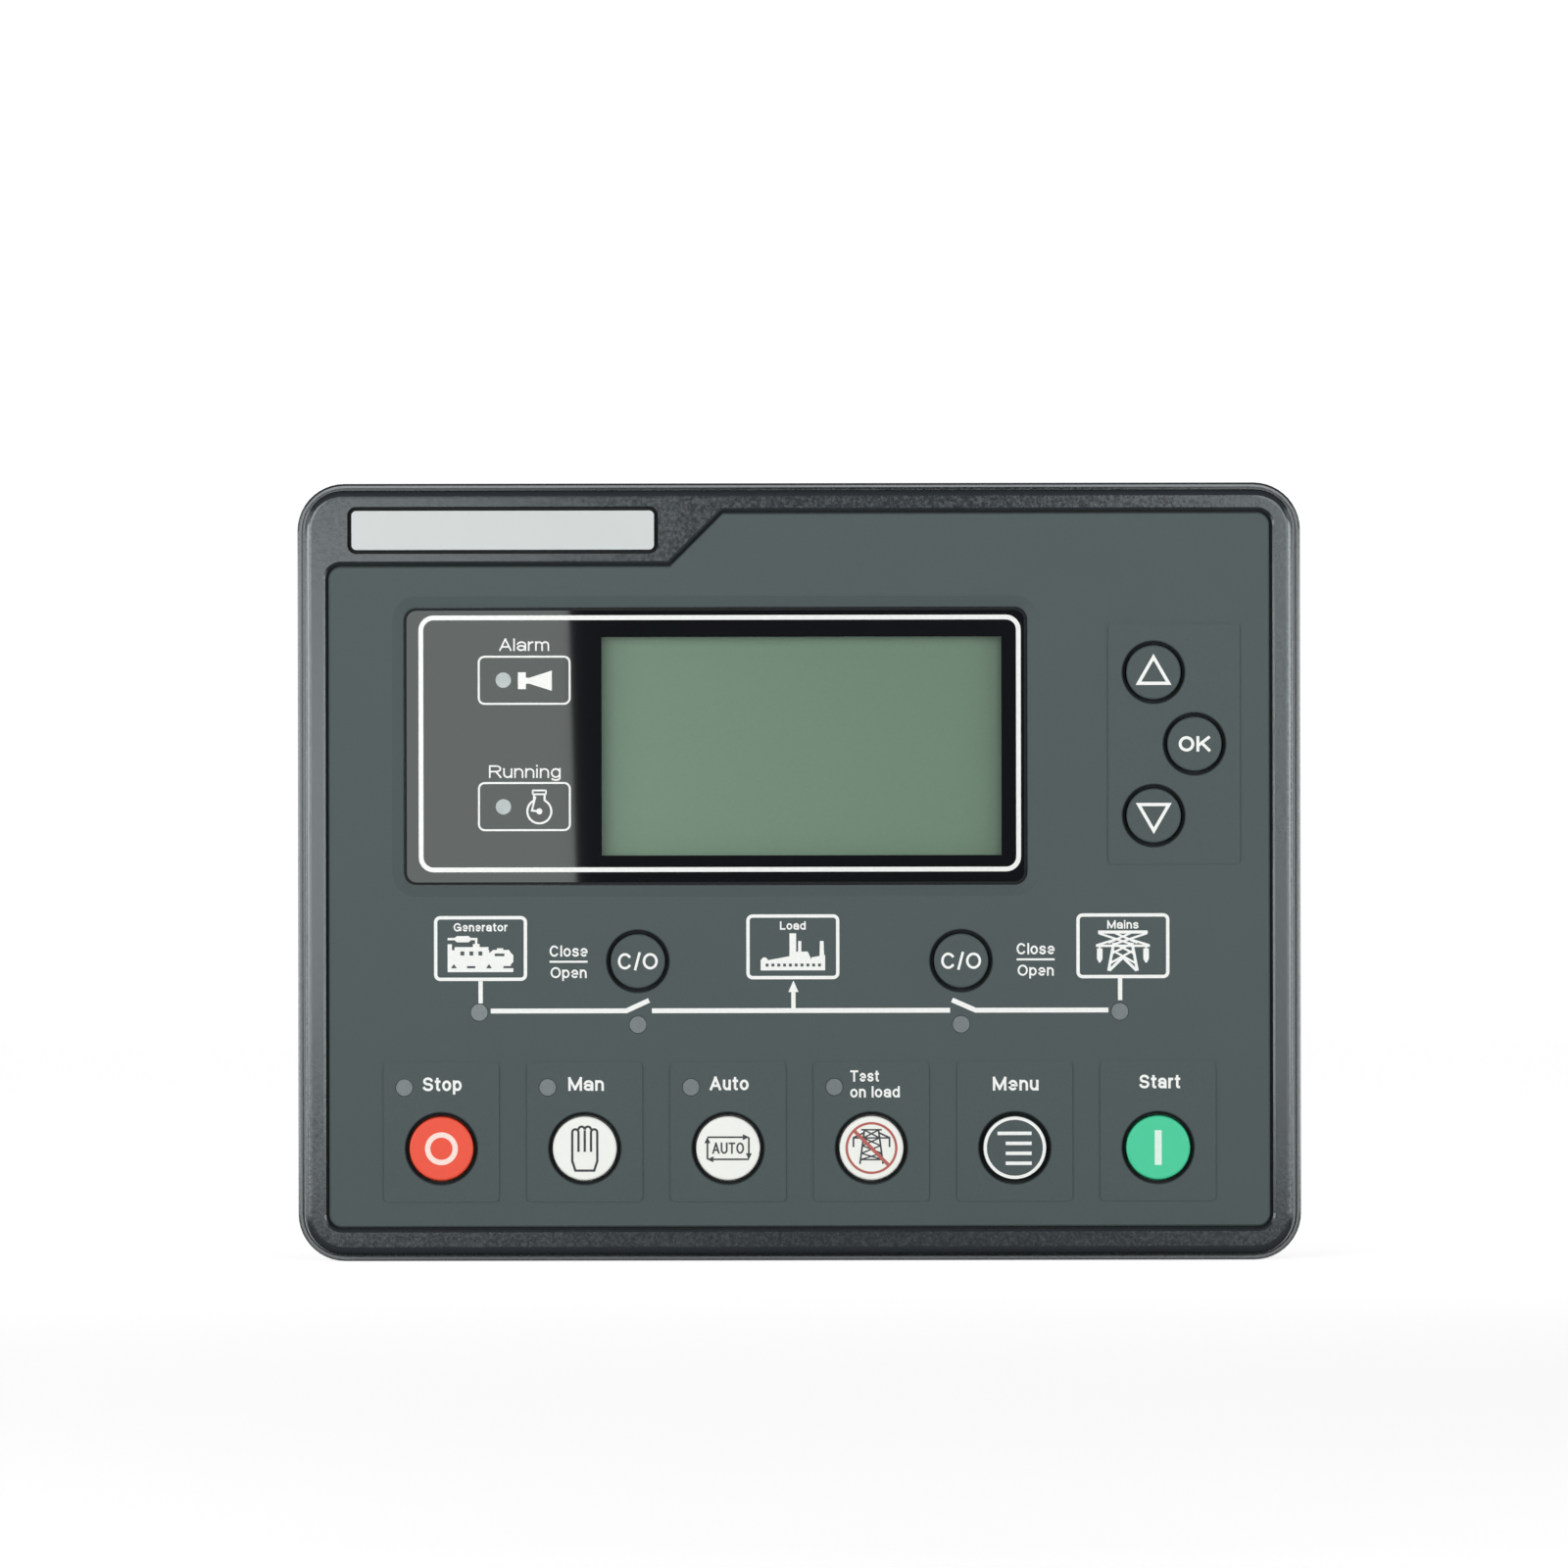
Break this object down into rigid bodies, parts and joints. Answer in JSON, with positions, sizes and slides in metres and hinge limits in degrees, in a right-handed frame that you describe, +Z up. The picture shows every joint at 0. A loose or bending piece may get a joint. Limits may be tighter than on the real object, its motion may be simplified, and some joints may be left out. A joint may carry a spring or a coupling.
{
  "type": "genset controller",
  "caption": "Panel-mounted genset controller: framed silicone face with screen window and keys, stepped rear housing with pluggable terminals and two jack-screw clips.",
  "frame": {"origin": "centre of the panel cut-out, on the surface of the panel that the gasket seals against", "axes": "+X right along the face, +Y into the panel, away from the viewer, +Z up the face"},
  "size_m": [0.209, 0.0451, 0.162],
  "materials": {
    "frame_plastic": "moulded ABS, charcoal, fine spark-eroded grain",
    "housing_plastic": "moulded ABS, near black, fine grain",
    "face_silicone": "moulded silicone, slate grey, matt",
    "white_silicone": "moulded silicone, white, matt",
    "red_silicone": "moulded silicone, signal red, matt",
    "green_silicone": "moulded silicone, signal green, matt",
    "plate_plastic": "bare satin plate, pale grey",
    "screen_acrylic": "cast acrylic with black back print, glossy",
    "display_glass": "reflective liquid-crystal display, grey-green",
    "light_guide": "diffusing acrylic",
    "plated_steel": "zinc-plated steel",
    "circuit_board": "glass-epoxy board with green solder mask",
    "black_plastic": "black moulded plastic",
    "relay_plastic": "blue moulded relay case",
    "terminal_plastic": "green moulded polyamide",
    "gasket_rubber": "closed-cell sealing rubber, black"
  },
  "bodies": {
    "controller": {"front_bezel": "frame_plastic", "face_panel": "face_silicone", "nameplate": "plate_plastic", "screen_lens": "screen_acrylic", "lcd_glass": "display_glass", "lcd_backlight": "light_guide", "lcd_frame": "plated_steel", "key_switches": "plated_steel", "light_pipes": "light_guide", "indicator_leds": "light_guide", "display_board": "circuit_board", "main_board": "circuit_board", "board_spacers": "plated_steel", "board_screws": "plated_steel", "board_link": "black_plastic", "relays": "relay_plastic", "current_transformers": "black_plastic", "capacitors": "black_plastic", "processor": "black_plastic", "usb_port": "plated_steel", "rear_housing": "housing_plastic", "housing_screws": "plated_steel", "panel_gasket": "gasket_rubber", "terminal_headers": "terminal_plastic", "terminal_screws": "plated_steel", "clip_left": "plated_steel", "clip_right": "plated_steel", "terminal_plug_top_left": "terminal_plastic", "terminal_plug_top_middle": "terminal_plastic", "terminal_plug_top_right": "terminal_plastic", "terminal_plug_bottom_left": "terminal_plastic", "terminal_plug_bottom_middle": "terminal_plastic", "terminal_plug_bottom_right": "terminal_plastic"},
    "key_up": {"key_up": "face_silicone", "switch_stem_up": "black_plastic"},
    "key_ok": {"key_ok": "face_silicone", "switch_stem_ok": "black_plastic"},
    "key_down": {"key_down": "face_silicone", "switch_stem_down": "black_plastic"},
    "key_generator": {"key_generator": "face_silicone", "switch_stem_generator": "black_plastic"},
    "key_mains": {"key_mains": "face_silicone", "switch_stem_mains": "black_plastic"},
    "key_stop": {"key_stop": "red_silicone", "switch_stem_stop": "black_plastic"},
    "key_man": {"key_man": "white_silicone", "switch_stem_man": "black_plastic"},
    "key_auto": {"key_auto": "white_silicone", "switch_stem_auto": "black_plastic"},
    "key_test": {"key_test": "white_silicone", "switch_stem_test": "black_plastic"},
    "key_menu": {"key_menu": "face_silicone", "switch_stem_menu": "black_plastic"},
    "key_start": {"key_start": "green_silicone", "switch_stem_start": "black_plastic"},
    "clip_screw_left": {"clip_screw_left": "plated_steel"},
    "clip_screw_right": {"clip_screw_right": "plated_steel"}
  },
  "joints": [
    {"name": "press_up", "type": "slide", "parent": "controller", "child": "key_up", "axis": [0, 1, 0], "range_m": [0, 0.0005], "stiffness_N_per_m": 6000},
    {"name": "press_ok", "type": "slide", "parent": "controller", "child": "key_ok", "axis": [0, 1, 0], "range_m": [0, 0.0005], "stiffness_N_per_m": 6000},
    {"name": "press_down", "type": "slide", "parent": "controller", "child": "key_down", "axis": [0, 1, 0], "range_m": [0, 0.0005], "stiffness_N_per_m": 6000},
    {"name": "press_generator", "type": "slide", "parent": "controller", "child": "key_generator", "axis": [0, 1, 0], "range_m": [0, 0.0005], "stiffness_N_per_m": 6000},
    {"name": "press_mains", "type": "slide", "parent": "controller", "child": "key_mains", "axis": [0, 1, 0], "range_m": [0, 0.0005], "stiffness_N_per_m": 6000},
    {"name": "press_stop", "type": "slide", "parent": "controller", "child": "key_stop", "axis": [0, 1, 0], "range_m": [0, 0.0005], "stiffness_N_per_m": 6000},
    {"name": "press_man", "type": "slide", "parent": "controller", "child": "key_man", "axis": [0, 1, 0], "range_m": [0, 0.0005], "stiffness_N_per_m": 6000},
    {"name": "press_auto", "type": "slide", "parent": "controller", "child": "key_auto", "axis": [0, 1, 0], "range_m": [0, 0.0005], "stiffness_N_per_m": 6000},
    {"name": "press_test", "type": "slide", "parent": "controller", "child": "key_test", "axis": [0, 1, 0], "range_m": [0, 0.0005], "stiffness_N_per_m": 6000},
    {"name": "press_menu", "type": "slide", "parent": "controller", "child": "key_menu", "axis": [0, 1, 0], "range_m": [0, 0.0005], "stiffness_N_per_m": 6000},
    {"name": "press_start", "type": "slide", "parent": "controller", "child": "key_start", "axis": [0, 1, 0], "range_m": [0, 0.0005], "stiffness_N_per_m": 6000},
    {"name": "jack_left", "type": "slide", "parent": "controller", "child": "clip_screw_left", "axis": [0, -1, 0], "range_m": [0, 0.007]},
    {"name": "jack_right", "type": "slide", "parent": "controller", "child": "clip_screw_right", "axis": [0, -1, 0], "range_m": [0, 0.007]}
  ]
}
